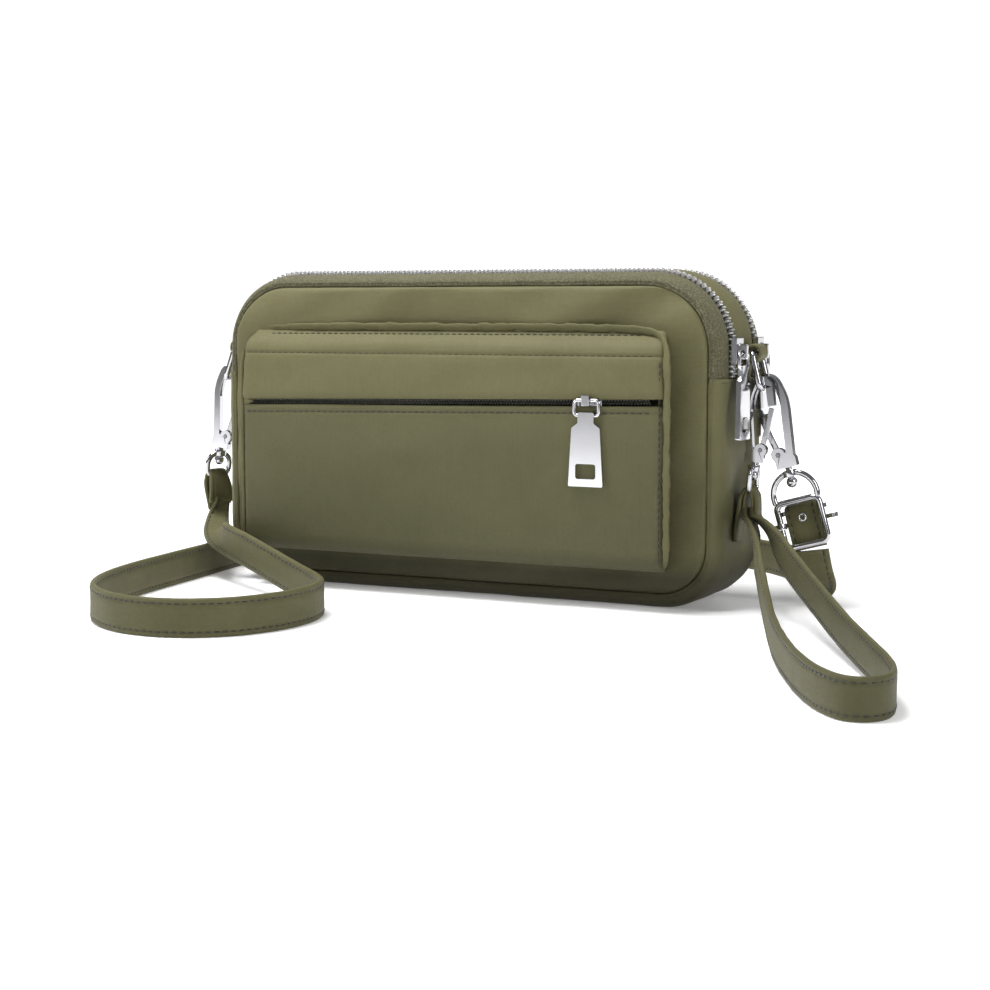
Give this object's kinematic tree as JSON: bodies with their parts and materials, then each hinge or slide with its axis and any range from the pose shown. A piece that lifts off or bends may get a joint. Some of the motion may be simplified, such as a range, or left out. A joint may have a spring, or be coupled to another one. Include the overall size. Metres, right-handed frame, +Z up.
{
  "type": "crossbody purse",
  "caption": "Small olive nylon crossbody purse with twin zipped compartments, a zipped front pocket, a shoulder strap and a wrist strap on swivel snap hooks.",
  "frame": {"origin": "middle of the bag's flat underside", "axes": "+X to the right as the front is seen, +Y to the back, +Z up"},
  "size_m": [0.3543, 0.317, 0.1299],
  "materials": {
    "nylon": "matt woven nylon, olive",
    "dark_tape": "woven zip tape",
    "lining": "thin woven lining",
    "teeth": "bright metal zip teeth",
    "nickel": "polished nickel plate"
  },
  "bodies": {
    "bag": {"centre_gusset": "nylon", "divider": "lining", "front_inner_tape": "dark_tape", "front_lining": "lining", "front_outer_tape": "nylon", "front_panel": "nylon", "front_teeth": "teeth", "left_tab": "nylon", "pocket_gusset": "nylon", "pocket_left_seam": "nylon", "pocket_lining": "lining", "pocket_lower_front": "nylon", "pocket_right_seam": "nylon", "pocket_teeth": "teeth", "pocket_top": "nylon", "pocket_upper_front": "nylon", "pocket_zip_tapes": "dark_tape", "rear_inner_tape": "dark_tape", "rear_lining": "lining", "rear_outer_tape": "nylon", "rear_panel": "nylon", "rear_teeth": "teeth", "right_tab": "nylon", "side_bottom_gusset": "nylon", "strap_front_loop": "nylon", "strap_keeper": "nylon", "strap_left_drop": "nylon", "strap_rear_run": "nylon", "strap_right_drop": "nylon"},
    "pocket_slider": {"pocket_slider": "nickel"},
    "pocket_puller": {"pocket_link": "nickel", "pocket_puller": "nickel"},
    "front_slider": {"front_slider": "nickel"},
    "front_puller": {"front_link": "nickel", "front_puller": "nickel"},
    "rear_slider": {"rear_slider": "nickel"},
    "rear_puller": {"rear_link": "nickel", "rear_puller": "nickel"},
    "right_dring": {"right_d_ring": "nickel"},
    "right_clip": {"right_buckle": "nickel", "strap_buckle_end": "nylon", "right_hook": "nickel", "right_gate_pin": "nickel", "right_swivel_stud": "nickel"},
    "right_gate": {"right_gate": "nickel"},
    "prong": {"buckle_prong": "nickel"},
    "left_clip": {"left_d_ring": "nickel", "left_strap_ring": "nickel", "strap_loop_end": "nylon"},
    "left_hook": {"left_hook": "nickel", "left_gate_pin": "nickel", "left_swivel_stud": "nickel"},
    "left_gate": {"left_gate": "nickel"},
    "wrist_hook": {"wrist_hook": "nickel", "wrist_gate_pin": "nickel", "wrist_swivel_stud": "nickel"},
    "wrist_gate": {"wrist_gate": "nickel"},
    "wrist_ring": {"wrist_ring": "nickel", "wrist_fold": "nylon", "wrist_strap": "nylon"}
  },
  "joints": [
    {"name": "pocket_zip", "type": "slide", "parent": "bag", "child": "pocket_slider", "axis": [0.9998, 0, 0.018], "range_m": [-0.143, 0.018]},
    {"name": "pocket_puller_swing", "type": "hinge", "parent": "pocket_slider", "child": "pocket_puller", "pos_m": [0.062, -0.0396, 0.07982], "axis": [-1, 0, 0], "range_deg": [0, 150]},
    {"name": "front_zip", "type": "hinge", "parent": "bag", "child": "front_slider", "pos_m": [0.0802, 0, 0.0985], "axis": [0, -1, 0], "range_deg": [0, 90]},
    {"name": "front_puller_swing", "type": "hinge", "parent": "front_slider", "child": "front_puller", "pos_m": [0.1146, -0.0126, 0.0975], "axis": [0, -1, 0], "range_deg": [0, 150]},
    {"name": "rear_zip", "type": "hinge", "parent": "bag", "child": "rear_slider", "pos_m": [0.0802, 0, 0.0985], "axis": [0, -1, 0], "range_deg": [0, 90]},
    {"name": "rear_puller_swing", "type": "hinge", "parent": "rear_slider", "child": "rear_puller", "pos_m": [0.1146, 0.0126, 0.0975], "axis": [0, -1, 0], "range_deg": [0, 150]},
    {"name": "right_clip_swing", "type": "hinge", "parent": "bag", "child": "right_clip", "pos_m": [0.1155, 0, 0.0975], "axis": [0, -1, 0], "range_deg": [0, 12]},
    {"name": "right_dring_swing", "type": "hinge", "parent": "bag", "child": "right_dring", "pos_m": [0.1155, 0, 0.0975], "axis": [0, -1, 0], "range_deg": [-2, 16]},
    {"name": "left_clip_swing", "type": "hinge", "parent": "bag", "child": "left_clip", "pos_m": [-0.119, 0, 0.0975], "axis": [0, 1, 0], "range_deg": [0, 12]},
    {"name": "left_hook_swivel", "type": "hinge", "parent": "left_clip", "child": "left_hook", "pos_m": [-0.12477, 0, 0.08453], "axis": [0.1822, 0, 0.9833], "range_deg": [-8, 8]},
    {"name": "right_gate_open", "type": "hinge", "parent": "right_clip", "child": "right_gate", "pos_m": [0.12449, 0.00195, 0.05849], "axis": [0, 1, 0], "range_deg": [0, 20], "stiffness_Nm_per_rad": 0.002},
    {"name": "left_gate_open", "type": "hinge", "parent": "left_hook", "child": "left_gate", "pos_m": [-0.12715, 0, 0.05852], "axis": [0, -1, 0], "range_deg": [0, 20], "stiffness_Nm_per_rad": 0.002},
    {"name": "buckle_prong_swing", "type": "hinge", "parent": "right_clip", "child": "prong", "pos_m": [0.12578, 0.00195, 0.03062], "axis": [-0.2672, 0, 0.9636], "range_deg": [0, 60]},
    {"name": "wrist_hook_swing", "type": "hinge", "parent": "right_dring", "child": "wrist_hook", "pos_m": [0.11889, -0.00195, 0.08392], "axis": [-1, 0, 0], "range_deg": [0, 8]},
    {"name": "wrist_gate_open", "type": "hinge", "parent": "wrist_hook", "child": "wrist_gate", "pos_m": [0.11851, -0.00195, 0.06049], "axis": [0, -1, 0], "range_deg": [0, 20], "stiffness_Nm_per_rad": 0.002},
    {"name": "wrist_ring_swivel", "type": "hinge", "parent": "wrist_hook", "child": "wrist_ring", "pos_m": [0.11799, -0.00195, 0.08398], "axis": [0.0698, 0, 0.9976], "range_deg": [-10, 12]}
  ],
  "couplings": [
    {"joint": "right_dring_swing", "follows": "right_clip_swing", "ratio": 1}
  ]
}
